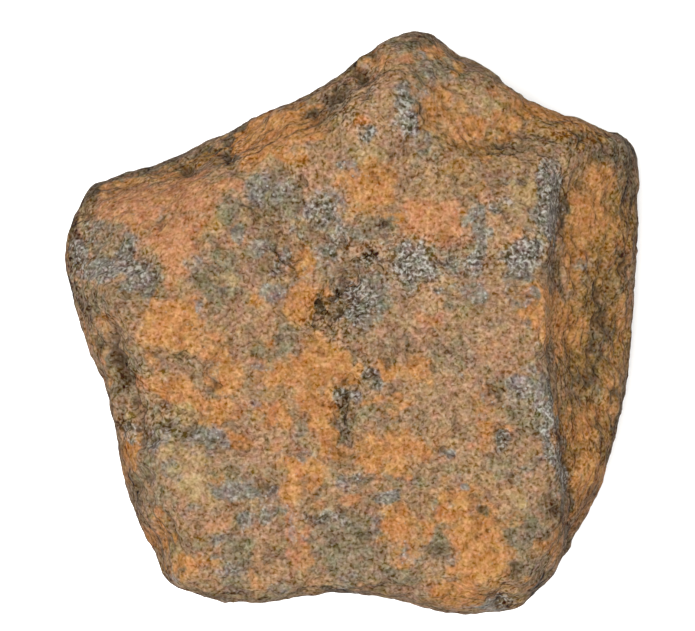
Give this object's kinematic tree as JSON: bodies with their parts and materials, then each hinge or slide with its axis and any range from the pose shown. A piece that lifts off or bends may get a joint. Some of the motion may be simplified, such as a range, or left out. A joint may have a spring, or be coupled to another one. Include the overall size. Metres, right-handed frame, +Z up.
{
  "type": "weathered meteorite stone",
  "caption": "Whole, uncut meteorite stone with a broad pitted face, a long sloping right flank and a rusty, patchy skin; lies on its flattest side.",
  "frame": {"origin": "on the resting plane, under the middle of the stone's outline", "axes": "+Z up out of the broad pitted face, +Y towards the peak of the outline, +X towards the long sloping flank"},
  "size_m": [0.0894, 0.089, 0.0412],
  "materials": {
    "weathered_stone": "matte"
  },
  "bodies": {
    "root": {"meteorite_stone": "weathered_stone"}
  },
  "joints": []
}
